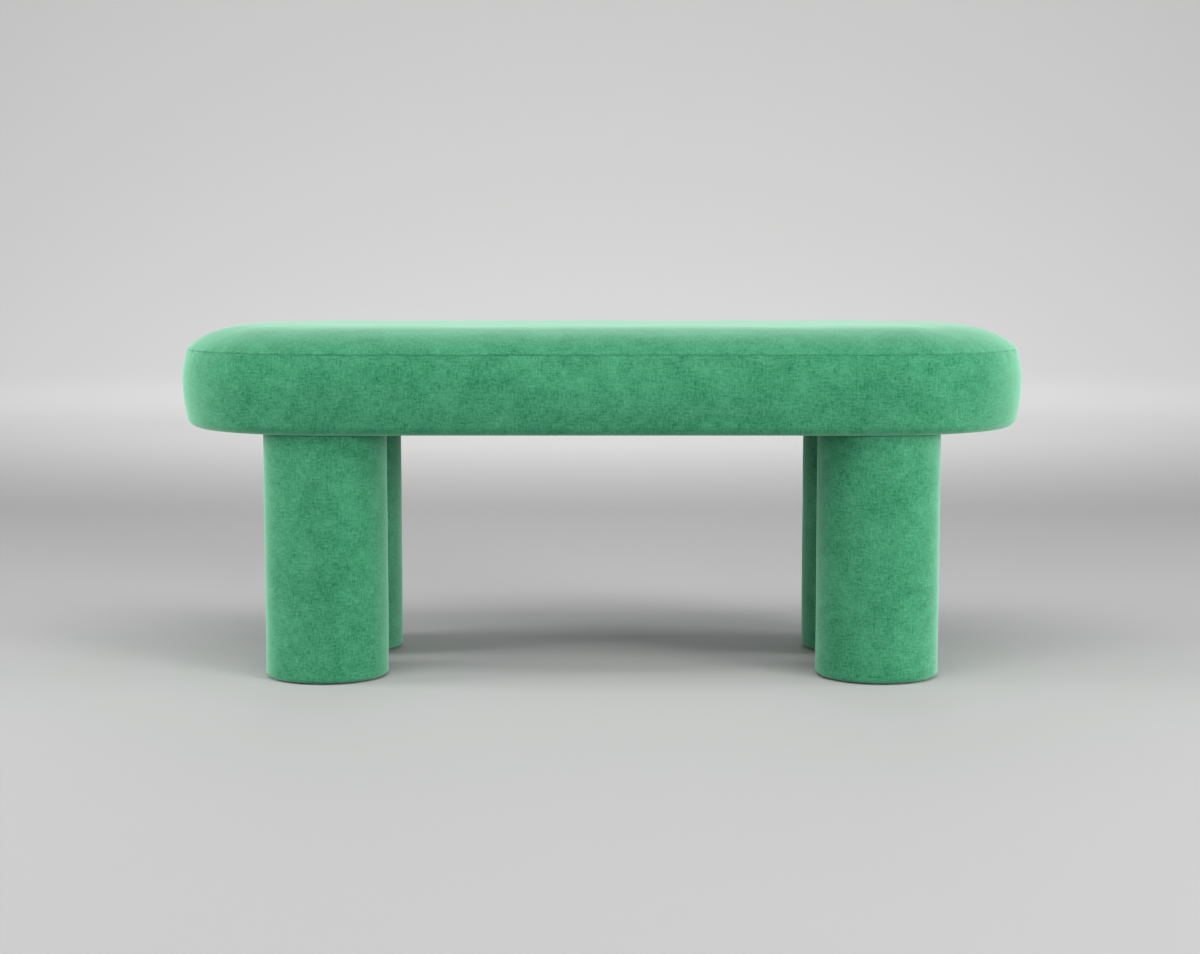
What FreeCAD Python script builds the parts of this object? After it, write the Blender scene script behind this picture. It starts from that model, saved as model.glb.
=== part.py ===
import FreeCAD, Part
import math
import os

from FreeCAD import Vector

# Upholstered backless bench: a round-ended padded seat on four fabric-covered drum legs.
# Millimetres. X runs along the seat, Y from front to rear, Z up.
# The origin is on the floor under the middle of the seat.

# Overall sizes
seat_length = 1200.0
seat_depth = 440.0
leg_height = 342.0            # a leg's fabric, bottom to top
band_height = 109.5           # seat underside to the seam round the top
crown_height = 35.5           # seam to the top of the cushion
leg_diameter = 171.0

# Where the legs stand, measured to their outer sides
leg_side_inset = 20.0         # behind the widest part of the seat's long side
leg_end_inset = 128.5         # in from the widest part of the seat's end

# Shape of the seat's outside
widest_share = 0.60           # level of the widest part, as a share of the band height
bottom_pull_in = 9.6          # how far the side leans in at the underside
seam_pull_in = 7.0            # how far the side leans in at the seam
underside_rounding = 16.0
crown_side_power = 5.4        # larger keeps the cushion flat further out
crown_edge_power = 1.16       # larger makes the cushion's edge stand up more steeply
crown_points = 14

# Layers
cover_thickness = 2.0
wadding_thickness = 5.0
seat_foam_thickness = 55.0
side_padding = 28.0           # widest part of the seat to the wooden frame
cover_turn_under = 30.0       # cover under the frame, counted from the frame's edge
dust_cover_thickness = 1.0
soft_gap = 0.3                # between curved layers

# Seat frame
deck_thickness = 18.0
underboard_thickness = 15.0
rail_thickness = 20.0
end_skin_thickness = 12.0
rib_thickness = 20.0
leg_block_width = 90.0

# Leg
leg_edge_rounding = 5.0
leg_top_rounding = 3.0
leg_padding_thickness = 5.4
leg_tube_wall = 8.0
leg_disc_thickness = 18.0
leg_turn_in = 25.5            # sleeve folded over the ends, measured from the outside
base_cover_thickness = 1.5
glide_proud = 2.0             # how far the glide stands below the sleeve
glide_diameter = 100.0
glide_edge_rounding = 0.8
glide_screw_ring = 64.0       # diameter of the ring that the glide's screws stand on
glide_screws_per_leg = 3

# Fasteners
leg_bolt_diameter = 10.0
leg_bolt_head_diameter = 24.0
leg_bolt_head_height = 3.0
leg_bolt_reach = 22.0         # above the top of the leg
insert_diameter = 16.0
insert_length = 25.0
insert_bore_gap = 0.1
dust_cover_hole_gap = 1.0
screw_diameter = 4.0
screw_head_diameter = 8.0
screw_head_height = 2.2
frame_screw_length = 40.0
glide_screw_length = 18.0
deck_screws_per_rail = 4
deck_screws_per_end = 3
underboard_screws_per_rail = 5   # other counts than the deck's, so that the two never meet
underboard_screws_per_end = 4
fastener_gap = 0.1            # all round each screw, staple and insert
staple_width = 10.0
staple_wire = 1.2
staple_crown_height = 0.7
staple_length = 10.0
cover_staple_spacing = 55.0
dust_staple_spacing = 85.0
dust_staple_inset = 8.0       # in from the edge of the dust cover
staples_per_leg_end = 6

# Seat levels and reaches. A reach is the distance from the seat's middle line.
leg_bottom = glide_proud
leg_top = leg_bottom + leg_height
seat_bottom = leg_top
seam_level = seat_bottom + band_height
seat_top = seam_level + crown_height
half_depth = seat_depth / 2
spine_half = (seat_length - seat_depth) / 2
seam_reach = half_depth - seam_pull_in
frame_reach = half_depth - side_padding
rail_inner_reach = frame_reach - rail_thickness
frame_bottom = seat_bottom + cover_thickness
underboard_top = frame_bottom + underboard_thickness
wadding_layer = cover_thickness + soft_gap
foam_layer = wadding_layer + wadding_thickness + soft_gap
deck_top = seat_top - foam_layer - seat_foam_thickness
deck_bottom = deck_top - deck_thickness
rail_height = deck_bottom - underboard_top
turn_under_reach = frame_reach - cover_turn_under
dust_cover_reach = turn_under_reach - soft_gap

# Leg positions and radii
leg_radius = leg_diameter / 2
leg_x = seat_length / 2 - leg_end_inset - leg_radius
leg_y = half_depth - leg_side_inset - leg_radius
leg_padding_radius = leg_radius - cover_thickness - soft_gap
leg_tube_radius = leg_padding_radius - leg_padding_thickness - soft_gap
leg_disc_radius = leg_tube_radius - leg_tube_wall - soft_gap
leg_turn_in_radius = leg_radius - leg_turn_in
leg_wood_bottom = leg_bottom + cover_thickness
leg_wood_top = leg_top - cover_thickness
glide_top = leg_wood_bottom - base_cover_thickness

leg_places = {
    "front_left": (-leg_x, -leg_y),
    "front_right": (leg_x, -leg_y),
    "rear_left": (-leg_x, leg_y),
    "rear_right": (leg_x, leg_y),
}

up = Vector(0, 0, 1)
origin = Vector(0, 0, 0)


# Outlines and sweeps. A profile lies in the XZ plane, with X as the reach.

def at(reach, height):
    return Vector(reach, 0, height)


def line(start, end):
    return Part.makeLine(start, end)


def face_from(edges):
    return Part.Face(Part.Wire(Part.__sortEdges__(edges)))


def polygon_face(points):
    return Part.Face(Part.makePolygon(points + [points[0]]))


def side_reach(height):
    """Reach of the cover's outside at a height: two parabolas that meet at the widest level."""
    share = (height - seat_bottom) / band_height
    if share <= widest_share:
        return half_depth - bottom_pull_in * ((widest_share - share) / widest_share) ** 2
    return half_depth - seam_pull_in * ((share - widest_share) / (1 - widest_share)) ** 2


def parabola(reach_at_end, end_height, widest_height, layer):
    """One side curve, from its leaning end to the widest level, where it stands upright."""
    poles = [
        at(reach_at_end - layer, end_height),
        at(half_depth - layer, (end_height + widest_height) / 2),
        at(half_depth - layer, widest_height),
    ]
    curve = Part.BezierCurve()
    curve.setPoles(poles)
    return curve.toShape()


def side_curve(low, high, layer):
    """Edges of the side between two heights, a layer's distance inside the cover's outside."""
    widest = seat_bottom + widest_share * band_height
    if low >= widest:
        return [upper_side_piece(low, high, layer)]
    lower = parabola(side_reach(low), low, widest, layer)
    upper = parabola(side_reach(high), high, widest, layer)
    return [lower, upper]


def upper_side_piece(low, high, layer):
    """The side between two heights above the widest level, as one parabola."""
    widest = seat_bottom + widest_share * band_height
    span = seam_level - widest
    slope = -2 * seam_pull_in * (low - widest) / span ** 2
    middle = (low + high) / 2
    poles = [
        at(side_reach(low) - layer, low),
        at(side_reach(low) - layer + slope * (middle - low), middle),
        at(side_reach(high) - layer, high),
    ]
    curve = Part.BezierCurve()
    curve.setPoles(poles)
    return curve.toShape()


def underside_arc(layer):
    """The rounding from the side to the underside, concentric for every layer."""
    centre_reach = side_reach(seat_bottom + underside_rounding) - underside_rounding
    centre = at(centre_reach, seat_bottom + underside_rounding)
    radius = underside_rounding - layer
    diagonal = radius * math.sqrt(0.5)
    start = centre + Vector(radius, 0, 0)
    middle = centre + Vector(diagonal, 0, -diagonal)
    end = centre + Vector(0, 0, -radius)
    return Part.Arc(start, middle, end).toShape()


def crown_curve(layer):
    """The cushion's top from the middle line to the seam: a superellipse."""
    reach = seam_reach - layer
    rise = crown_height - layer
    points = []
    for step in range(crown_points + 1):
        angle = math.pi / 2 * (1 - step / crown_points)
        out = reach * abs(math.cos(angle)) ** (2 / crown_side_power)
        height = rise * abs(math.sin(angle)) ** (2 / crown_edge_power)
        points.append(at(out, seam_level + height))
    points[0] = at(0, seam_level + rise)
    points[-1] = at(reach, seam_level)
    curve = Part.BSplineCurve()
    curve.interpolate(points)
    return curve.toShape()


def end_sweep(profile, side):
    """Half a turn of a profile round the centre of the left (-1) or right (1) end."""
    start_angle = -90 if side > 0 else 90
    placed = profile.copy()
    placed.rotate(origin, up, start_angle)
    half = placed.revolve(origin, up, 180)
    half.translate(Vector(side * spine_half, 0, 0))
    return half


def run_sweep(profile, side):
    """A profile drawn along the seat's front (-1) or rear (1) side, between the two ends."""
    placed = profile.copy()
    placed.rotate(origin, up, 90 * side)
    placed.translate(Vector(-spine_half, 0, 0))
    return placed.extrude(Vector(2 * spine_half, 0, 0))


def all_round(profile):
    """A profile swept right round the seat, as one solid."""
    pieces = [end_sweep(profile, 1), end_sweep(profile, -1), run_sweep(profile, -1), run_sweep(profile, 1)]
    return pieces[0].fuse(pieces[1:]).removeSplitter()


def round_ended_plate(reach, bottom, thickness):
    """A flat plate with the seat's outline at the given reach."""
    front = Part.makeLine(Vector(-spine_half, -reach, bottom), Vector(spine_half, -reach, bottom))
    right_tip = Vector(spine_half + reach, 0, bottom)
    right = Part.Arc(Vector(spine_half, -reach, bottom), right_tip, Vector(spine_half, reach, bottom))
    rear = Part.makeLine(Vector(spine_half, reach, bottom), Vector(-spine_half, reach, bottom))
    left_tip = Vector(-spine_half - reach, 0, bottom)
    left = Part.Arc(Vector(-spine_half, reach, bottom), left_tip, Vector(-spine_half, -reach, bottom))
    outline = Part.Wire([front, right.toShape(), rear, left.toShape()])
    return Part.Face(outline).extrude(Vector(0, 0, thickness))


def box_between(low, high):
    return Part.makeBox(high.x - low.x, high.y - low.y, high.z - low.z, low)


def disc(radius, bottom, top, x=0.0, y=0.0):
    return Part.makeCylinder(radius, top - bottom, Vector(x, y, bottom), up)


def without(shape, tools):
    return shape.cut(tools) if tools else shape


# Fasteners. Each takes a gap, so that the hole for it is the same shape, slightly larger.

def screw(x, y, head_level, length, direction, gap=0.0):
    """A countersunk wood screw. Its head is flush at head_level and it points up (1) or down (-1)."""
    head_radius = screw_head_diameter / 2 + gap
    shank_radius = screw_diameter / 2 + gap
    profile = polygon_face([
        at(0, 0),
        at(head_radius, 0),
        at(shank_radius, screw_head_height + gap),
        at(shank_radius, length - screw_diameter + gap),
        at(0, length + gap),
    ])
    body = profile.revolve(origin, up, 360)
    if direction < 0:
        body.rotate(origin, Vector(1, 0, 0), 180)
    body.translate(Vector(x, y, head_level))
    return body


def staple(x, y, angle, crown_level, direction, gap=0.0):
    """A staple pressed in flush: crown along the given angle, prongs up (1) or down (-1)."""
    half_width = staple_width / 2 + gap
    half_wire = staple_wire / 2 + gap
    prong = staple_wire + 2 * gap
    crown = box_between(
        Vector(-half_width, -half_wire, 0),
        Vector(half_width, half_wire, staple_crown_height + gap),
    )
    left = box_between(
        Vector(-half_width, -half_wire, 0),
        Vector(-half_width + prong, half_wire, staple_length + gap),
    )
    right = box_between(
        Vector(half_width - prong, -half_wire, 0),
        Vector(half_width, half_wire, staple_length + gap),
    )
    body = crown.fuse([left, right]).removeSplitter()
    if direction < 0:
        body.rotate(origin, Vector(1, 0, 0), 180)
    body.rotate(origin, up, angle)
    body.translate(Vector(x, y, crown_level))
    return body


def places_round(reach, spacing):
    """Evenly spaced (x, y, angle) along the seat's outline at a reach, clear of the corners."""
    places = []
    run_count = max(2, round(2 * spine_half / spacing))
    for step in range(run_count):
        x = spine_half * (2 * (step + 0.5) / run_count - 1)
        places.append((x, -reach, 0))
        places.append((x, reach, 0))
    end_count = max(2, round(math.pi * reach / spacing))
    for step in range(end_count):
        angle = -90 + 180 * (step + 0.5) / end_count
        across = reach * math.cos(math.radians(angle))
        along = reach * math.sin(math.radians(angle))
        places.append((spine_half + across, along, angle + 90))
        places.append((-spine_half - across, along, 90 - angle))
    return places


def frame_screw_places(per_rail, per_end):
    """Screws that hold a board to the rails and end skins: (x, y) of each."""
    rail_y = frame_reach - rail_thickness / 2
    skin_reach = frame_reach - end_skin_thickness / 2
    places = []
    for step in range(per_rail):
        x = spine_half * (2 * (step + 0.5) / per_rail - 1)
        places.append((x, -rail_y))
        places.append((x, rail_y))
    for step in range(per_end):
        angle = math.radians(-90 + 180 * (step + 0.5) / per_end)
        across = spine_half + skin_reach * math.cos(angle)
        along = skin_reach * math.sin(angle)
        places.append((across, along))
        places.append((-across, along))
    return places


def block_screw_places():
    """One screw into each leg block, beside the leg's bolt on the side of the seat's middle."""
    inward = leg_block_width / 4
    return [(x - math.copysign(inward, x), y) for x, y in leg_places.values()]


def deck_screws(gap=0.0):
    places = frame_screw_places(deck_screws_per_rail, deck_screws_per_end) + block_screw_places()
    return [screw(x, y, deck_top, frame_screw_length, -1, gap) for x, y in places]


def underboard_screws(gap=0.0):
    places = frame_screw_places(underboard_screws_per_rail, underboard_screws_per_end)
    return [screw(x, y, frame_bottom, frame_screw_length, 1, gap) for x, y in places]


def cover_staples(gap=0.0):
    reach = (turn_under_reach + rail_inner_reach) / 2
    places = places_round(reach, cover_staple_spacing)
    return [staple(x, y, angle, seat_bottom, 1, gap) for x, y, angle in places]


def dust_cover_staples(gap=0.0):
    level = frame_bottom - dust_cover_thickness
    places = places_round(dust_cover_reach - dust_staple_inset, dust_staple_spacing)
    return [staple(x, y, angle, level, 1, gap) for x, y, angle in places]


def leg_ring_staples(leg, crown_level, direction, gap=0.0):
    """Staples through the sleeve's folded end into the disc inside the leg."""
    centre_x, centre_y = leg_places[leg]
    ring = (leg_turn_in_radius + leg_disc_radius) / 2
    bodies = []
    for step in range(staples_per_leg_end):
        angle = 360 * (step + 0.5) / staples_per_leg_end
        x = centre_x + ring * math.cos(math.radians(angle))
        y = centre_y + ring * math.sin(math.radians(angle))
        bodies.append(staple(x, y, angle + 90, crown_level, direction, gap))
    return bodies


def base_staples(leg, gap=0.0):
    return leg_ring_staples(leg, leg_bottom, 1, gap)


def top_staples(leg, gap=0.0):
    return leg_ring_staples(leg, leg_top, -1, gap)


def leg_screws(leg, gap=0.0):
    """The glide's screws, pointing up into the base disc."""
    centre_x, centre_y = leg_places[leg]
    bodies = []
    for step in range(glide_screws_per_leg):
        angle = math.radians(90 + 360 * step / glide_screws_per_leg)
        x = centre_x + glide_screw_ring / 2 * math.cos(angle)
        y = centre_y + glide_screw_ring / 2 * math.sin(angle)
        bodies.append(screw(x, y, 0, glide_screw_length, 1, gap))
    return bodies


def leg_bolt(leg, gap=0.0):
    """A bolt whose head is glued under the leg's top disc. It screws up into the seat."""
    x, y = leg_places[leg]
    disc_bottom = leg_wood_top - leg_disc_thickness
    shank = disc(leg_bolt_diameter / 2 + gap, disc_bottom, leg_top + leg_bolt_reach, x, y)
    head = disc(leg_bolt_head_diameter / 2, disc_bottom - leg_bolt_head_height, disc_bottom, x, y)
    return shank.fuse(head).removeSplitter()


def insert_body(leg, gap=0.0):
    x, y = leg_places[leg]
    return disc(insert_diameter / 2 + gap, frame_bottom, frame_bottom + insert_length + gap, x, y)


def leg_insert(leg):
    """A threaded insert in the underboard and the leg block, open at both ends."""
    x, y = leg_places[leg]
    bore_radius = leg_bolt_diameter / 2 + insert_bore_gap
    bore = disc(bore_radius, frame_bottom, frame_bottom + insert_length, x, y)
    return insert_body(leg).cut(bore)


def all_leg_inserts():
    return [leg_insert(leg) for leg in leg_places]


def insert_holes():
    return [insert_body(leg, fastener_gap) for leg in leg_places]


# Seat frame

def seat_underboard():
    board = round_ended_plate(frame_reach, frame_bottom, underboard_thickness)
    holes = insert_holes() + underboard_screws(fastener_gap)
    holes += cover_staples(fastener_gap) + dust_cover_staples(fastener_gap)
    return without(board, holes)


def seat_deck():
    board = round_ended_plate(frame_reach, deck_bottom, deck_thickness)
    return without(board, deck_screws(fastener_gap))


def rail(side):
    """The front (-1) or rear (1) rail, on the underboard and under the deck."""
    profile = polygon_face([
        at(rail_inner_reach, underboard_top),
        at(frame_reach, underboard_top),
        at(frame_reach, deck_bottom),
        at(rail_inner_reach, deck_bottom),
    ])
    holes = deck_screws(fastener_gap) + underboard_screws(fastener_gap)
    return without(run_sweep(profile, side), holes)


def end_skin(side):
    """Bent plywood round the left (-1) or right (1) end, butting against both rails."""
    inner = frame_reach - end_skin_thickness
    profile = polygon_face([
        at(inner, underboard_top),
        at(frame_reach, underboard_top),
        at(frame_reach, deck_bottom),
        at(inner, deck_bottom),
    ])
    holes = deck_screws(fastener_gap) + underboard_screws(fastener_gap)
    return without(end_sweep(profile, side), holes)


def inside_of_frame():
    return round_ended_plate(rail_inner_reach, underboard_top, rail_height)


def leg_block(leg):
    """A block between the boards over a leg, against the rail and trimmed to the round end."""
    x, y = leg_places[leg]
    side = 1 if y > 0 else -1
    inner_y = y - side * leg_block_width / 2
    outer_y = side * rail_inner_reach
    low = Vector(x - leg_block_width / 2, min(inner_y, outer_y), underboard_top)
    high = Vector(x + leg_block_width / 2, max(inner_y, outer_y), deck_bottom)
    block = box_between(low, high).common(inside_of_frame())
    return without(block, insert_holes() + deck_screws(fastener_gap))


def rib(x):
    """A cross rib between the rails at x."""
    low = Vector(x - rib_thickness / 2, -rail_inner_reach, underboard_top)
    high = Vector(x + rib_thickness / 2, rail_inner_reach, deck_bottom)
    return box_between(low, high).common(inside_of_frame())


def rib_nodes():
    """The outer ribs lie against the leg blocks and the inner ones divide the span in three."""
    outer_x = leg_x - leg_block_width / 2 - rib_thickness / 2
    return {
        "rib_left_outer": rib(-outer_x),
        "rib_left_inner": rib(-outer_x / 3),
        "rib_right_inner": rib(outer_x / 3),
        "rib_right_outer": rib(outer_x),
    }


# Seat padding and covers

def seat_foam():
    """The foam slab on the deck and the side foam, with a ledge for the wadding's edge."""
    side = side_curve(deck_top, seam_level, wadding_layer)
    edges = [line(at(0, deck_top), at(side_reach(deck_top) - wadding_layer, deck_top))]
    edges += side
    edges.append(line(at(seam_reach - wadding_layer, seam_level), at(seam_reach - foam_layer, seam_level)))
    edges.append(crown_curve(foam_layer))
    edges.append(line(at(0, seam_level + crown_height - foam_layer), at(0, deck_top)))
    return all_round(face_from(edges))


def seat_wadding():
    """A soft layer between the foam and the top cover."""
    inner = wadding_layer + wadding_thickness
    edges = [
        crown_curve(wadding_layer),
        line(at(seam_reach - wadding_layer, seam_level), at(seam_reach - inner, seam_level)),
        crown_curve(inner),
        line(at(0, seam_level + crown_height - inner), at(0, seam_level + crown_height - wadding_layer)),
    ]
    return all_round(face_from(edges))


def side_foam_profile():
    edges = side_curve(seat_bottom + underside_rounding, deck_top, wadding_layer)
    inner = frame_reach + soft_gap
    bottom = seat_bottom + wadding_layer
    arc_end = side_reach(seat_bottom + underside_rounding) - underside_rounding
    edges.append(underside_arc(wadding_layer))
    edges.append(line(at(arc_end, bottom), at(inner, bottom)))
    edges.append(line(at(inner, bottom), at(inner, deck_top)))
    edges.append(line(at(inner, deck_top), at(side_reach(deck_top) - wadding_layer, deck_top)))
    return face_from(edges)


def seat_top_cover():
    """The fabric over the cushion, down to the seam."""
    edges = [
        crown_curve(0),
        line(at(seam_reach, seam_level), at(seam_reach - cover_thickness, seam_level)),
        crown_curve(cover_thickness),
        line(at(0, seam_level + crown_height - cover_thickness), at(0, seam_level + crown_height)),
    ]
    return all_round(face_from(edges))


def seat_band_cover():
    """The fabric round the sides, from the seam down and turned under the frame."""
    low = seat_bottom + underside_rounding
    arc_end = side_reach(low) - underside_rounding
    edges = side_curve(low, seam_level, 0) + [underside_arc(0)]
    edges.append(line(at(arc_end, seat_bottom), at(turn_under_reach, seat_bottom)))
    edges.append(line(at(turn_under_reach, seat_bottom), at(turn_under_reach, frame_bottom)))
    edges.append(line(at(turn_under_reach, frame_bottom), at(arc_end, frame_bottom)))
    edges += [underside_arc(cover_thickness)] + side_curve(low, seam_level, cover_thickness)
    edges.append(line(at(seam_reach - cover_thickness, seam_level), at(seam_reach, seam_level)))
    return without(all_round(face_from(edges)), cover_staples(fastener_gap))


def dust_cover():
    """The thin cloth that closes the underside, inside the turned-under cover."""
    bottom = frame_bottom - dust_cover_thickness
    sheet = round_ended_plate(dust_cover_reach, bottom, dust_cover_thickness)
    radius = leg_bolt_diameter / 2 + dust_cover_hole_gap
    holes = [disc(radius, bottom, frame_bottom, x, y) for x, y in leg_places.values()]
    return without(sheet, holes + dust_cover_staples(fastener_gap))


# Legs

def leg_tube(leg):
    x, y = leg_places[leg]
    outside = disc(leg_tube_radius, leg_wood_bottom, leg_wood_top, x, y)
    return outside.cut(disc(leg_tube_radius - leg_tube_wall, leg_wood_bottom, leg_wood_top, x, y))


def leg_base_disc(leg):
    x, y = leg_places[leg]
    plate = disc(leg_disc_radius, leg_wood_bottom, leg_wood_bottom + leg_disc_thickness, x, y)
    return without(plate, leg_screws(leg, fastener_gap) + base_staples(leg, fastener_gap))


def leg_top_disc(leg):
    x, y = leg_places[leg]
    plate = disc(leg_disc_radius, leg_wood_top - leg_disc_thickness, leg_wood_top, x, y)
    return without(plate, [leg_bolt(leg, fastener_gap)] + top_staples(leg, fastener_gap))


def wall_with_round_ends(outer, inner, bottom_radius, top_radius, bottom_centre, top_centre):
    """Edges of a leg layer's outside: along the bottom, up the wall and back along the top."""
    diagonal = math.sqrt(0.5)
    bottom = bottom_centre + Vector(bottom_radius * diagonal, 0, -bottom_radius * diagonal)
    top = top_centre + Vector(top_radius * diagonal, 0, top_radius * diagonal)
    low_start = bottom_centre + Vector(0, 0, -bottom_radius)
    low_end = at(outer, bottom_centre.z)
    high_start = at(outer, top_centre.z)
    high_end = top_centre + Vector(0, 0, top_radius)
    return [
        line(at(inner, low_start.z), low_start),
        Part.Arc(low_start, bottom, low_end).toShape(),
        line(low_end, high_start),
        Part.Arc(high_start, top, high_end).toShape(),
        line(high_end, at(inner, high_end.z)),
    ]


def leg_wall_edges(layer, inner):
    bottom_centre = at(leg_radius - leg_edge_rounding, leg_bottom + leg_edge_rounding)
    top_centre = at(leg_radius - leg_top_rounding, leg_top - leg_top_rounding)
    bottom_radius = leg_edge_rounding - layer
    top_radius = leg_top_rounding - layer
    outer = leg_radius - layer
    return wall_with_round_ends(outer, inner, bottom_radius, top_radius, bottom_centre, top_centre)


def turned(leg, edges):
    x, y = leg_places[leg]
    body = face_from(edges).revolve(origin, up, 360)
    body.translate(Vector(x, y, 0))
    return body


def leg_padding(leg):
    """The soft layer round the tube."""
    layer = leg_radius - leg_padding_radius
    inner = leg_tube_radius + soft_gap
    edges = leg_wall_edges(layer, inner)
    edges.append(line(at(inner, leg_top - layer), at(inner, leg_bottom + layer)))
    return turned(leg, edges)


def leg_sleeve(leg):
    """The fabric round the leg, folded in over both ends."""
    edges = leg_wall_edges(0, leg_turn_in_radius)
    edges += leg_wall_edges(cover_thickness, leg_turn_in_radius)
    for start, end in ((leg_bottom, leg_wood_bottom), (leg_wood_top, leg_top)):
        edges.append(line(at(leg_turn_in_radius, start), at(leg_turn_in_radius, end)))
    return without(turned(leg, edges), base_staples(leg, fastener_gap) + top_staples(leg, fastener_gap))


def leg_base_cover(leg):
    """The cloth disc that closes the leg's underside."""
    x, y = leg_places[leg]
    sheet = disc(leg_turn_in_radius - soft_gap, glide_top, leg_wood_bottom, x, y)
    return without(sheet, leg_screws(leg, fastener_gap))


def leg_glide(leg):
    """The hard disc that the leg stands on."""
    x, y = leg_places[leg]
    body = disc(glide_diameter / 2, 0, glide_top, x, y)
    lower_edge = [edge for edge in body.Edges if abs(edge.BoundBox.ZMax) < soft_gap]
    body = body.makeFillet(glide_edge_rounding, lower_edge)
    return without(body, leg_screws(leg, fastener_gap))


def leg_nodes(leg):
    return {
        f"leg_{leg}_tube": leg_tube(leg),
        f"leg_{leg}_base_disc": leg_base_disc(leg),
        f"leg_{leg}_top_disc": leg_top_disc(leg),
        f"leg_{leg}_padding": leg_padding(leg),
        f"leg_{leg}_sleeve": leg_sleeve(leg),
        f"leg_{leg}_base_cover": leg_base_cover(leg),
    }


def every_node():
    """Each node's shape, or the list of its separate solids."""
    nodes = {
        "seat_underboard": seat_underboard(),
        "seat_deck": seat_deck(),
        "rail_front": rail(-1),
        "rail_rear": rail(1),
        "end_skin_left": end_skin(-1),
        "end_skin_right": end_skin(1),
        "seat_foam": seat_foam(),
        "seat_wadding": seat_wadding(),
        "side_foam_front": run_sweep(side_foam_profile(), -1),
        "side_foam_rear": run_sweep(side_foam_profile(), 1),
        "side_foam_left": end_sweep(side_foam_profile(), -1),
        "side_foam_right": end_sweep(side_foam_profile(), 1),
        "seat_top_cover": seat_top_cover(),
        "seat_band_cover": seat_band_cover(),
        "dust_cover": dust_cover(),
        "deck_screws": deck_screws(),
        "underboard_screws": underboard_screws(),
        "cover_staples": cover_staples(),
        "dust_cover_staples": dust_cover_staples(),
        "leg_inserts": all_leg_inserts(),
        "leg_bolts": [leg_bolt(leg) for leg in leg_places],
        "leg_glides": [leg_glide(leg) for leg in leg_places],
        "glide_screws": [body for leg in leg_places for body in leg_screws(leg)],
        "leg_staples": [body for leg in leg_places for body in base_staples(leg) + top_staples(leg)],
    }
    nodes.update(rib_nodes())
    for leg in leg_places:
        nodes[f"leg_block_{leg}"] = leg_block(leg)
        nodes.update(leg_nodes(leg))
    return nodes


def one_shape(body):
    """A single solid, or a compound of the separate solids of a group."""
    solids = [solid for shape in body for solid in shape.Solids] if isinstance(body, list) else body.Solids
    return solids[0] if len(solids) == 1 else Part.makeCompound(solids)


os.makedirs("parts", exist_ok=True)
for name, body in every_node().items():
    shape = one_shape(body)
    shape.exportStep(os.path.join("parts", name + ".step"))
    print(name, len(shape.Solids), "solids, valid", shape.isValid())
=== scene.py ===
import math

import bmesh
import bpy
import numpy as np
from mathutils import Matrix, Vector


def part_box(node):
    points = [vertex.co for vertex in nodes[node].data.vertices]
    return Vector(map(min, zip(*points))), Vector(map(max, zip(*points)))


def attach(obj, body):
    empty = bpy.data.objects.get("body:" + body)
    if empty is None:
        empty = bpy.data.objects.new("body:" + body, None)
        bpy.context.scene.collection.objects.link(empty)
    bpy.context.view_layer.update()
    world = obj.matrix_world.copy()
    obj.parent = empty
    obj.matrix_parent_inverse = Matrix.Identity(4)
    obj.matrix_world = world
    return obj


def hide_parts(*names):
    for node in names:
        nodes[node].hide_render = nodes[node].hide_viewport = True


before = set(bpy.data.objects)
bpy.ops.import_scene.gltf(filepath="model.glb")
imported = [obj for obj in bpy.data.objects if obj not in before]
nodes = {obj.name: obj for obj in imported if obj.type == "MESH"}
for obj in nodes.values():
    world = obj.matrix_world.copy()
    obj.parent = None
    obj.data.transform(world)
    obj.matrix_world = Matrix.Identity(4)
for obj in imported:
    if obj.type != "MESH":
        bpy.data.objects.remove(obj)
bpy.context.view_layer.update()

root = "root"
print("frame loaded:", len(nodes), "nodes")


# sizes read from the frame, in metres

bandLow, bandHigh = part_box("seat_band_cover")
topLow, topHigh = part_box("seat_top_cover")
seat = {
    "halfDepth": bandHigh.y,
    "spineHalf": bandHigh.x - bandHigh.y,  # the straight middle of the seat, each way from the centre
    "bottom": bandLow.z,
    "seam": topLow.z,
    "top": topHigh.z,
    "seamReach": topHigh.y,
    "widestShare": 0.60,      # level of the widest part, as a share of the band
    "bottomPullIn": 0.0096,   # the side leans in at the underside
    "rounding": 0.016,        # from the side to the underside
    "crownSidePower": 5.4,
    "crownEdgePower": 1.16,
}
legNames = ["front_left", "front_right", "rear_left", "rear_right"]


def pieceName(stem, leg):  # legSleeve + front_left -> legSleeveFrontLeft
    return stem + "".join(word.capitalize() for word in leg.split("_"))


# small tools: waves, outlines and meshes

def waves(along, around, seed, shortest, longest, total, count=24):
    # Sum of plane waves of random heading and phase; a whole number of each fits in the total
    # along the first axis, so they close on themselves.
    rng = np.random.default_rng(seed)
    shape = np.zeros(np.broadcast(along, around).shape)
    for _ in range(count):
        length = shortest * (longest / shortest) ** rng.random()
        heading = rng.uniform(0, np.pi)
        turns = np.round(total / length * np.cos(heading))
        across = np.sin(heading) / length
        phase = 2 * np.pi * (turns * along / total + across * around)
        shape = shape + np.cos(phase + rng.uniform(0, 6.28))
    return shape / np.sqrt(count / 2)


def smoothStep(value, low, high):
    # 0 below low, 1 above high, three times the square less twice the cube between.
    share = np.clip((value - low) / (high - low), 0, 1)
    return share * share * (3 - 2 * share)


def arcPoints(centre, radius, startDeg, endDeg, count):
    # Points on a circle in the (reach, height) plane, from one angle to another.
    angle = np.radians(np.linspace(startDeg, endDeg, count))
    return np.c_[centre[0] + radius * np.cos(angle), centre[1] + radius * np.sin(angle)]


def lengthAlong(profile):
    # How far along the polyline each of its points lies.
    return np.r_[0, np.cumsum(np.hypot(*np.diff(profile, axis=0).T))]


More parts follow.
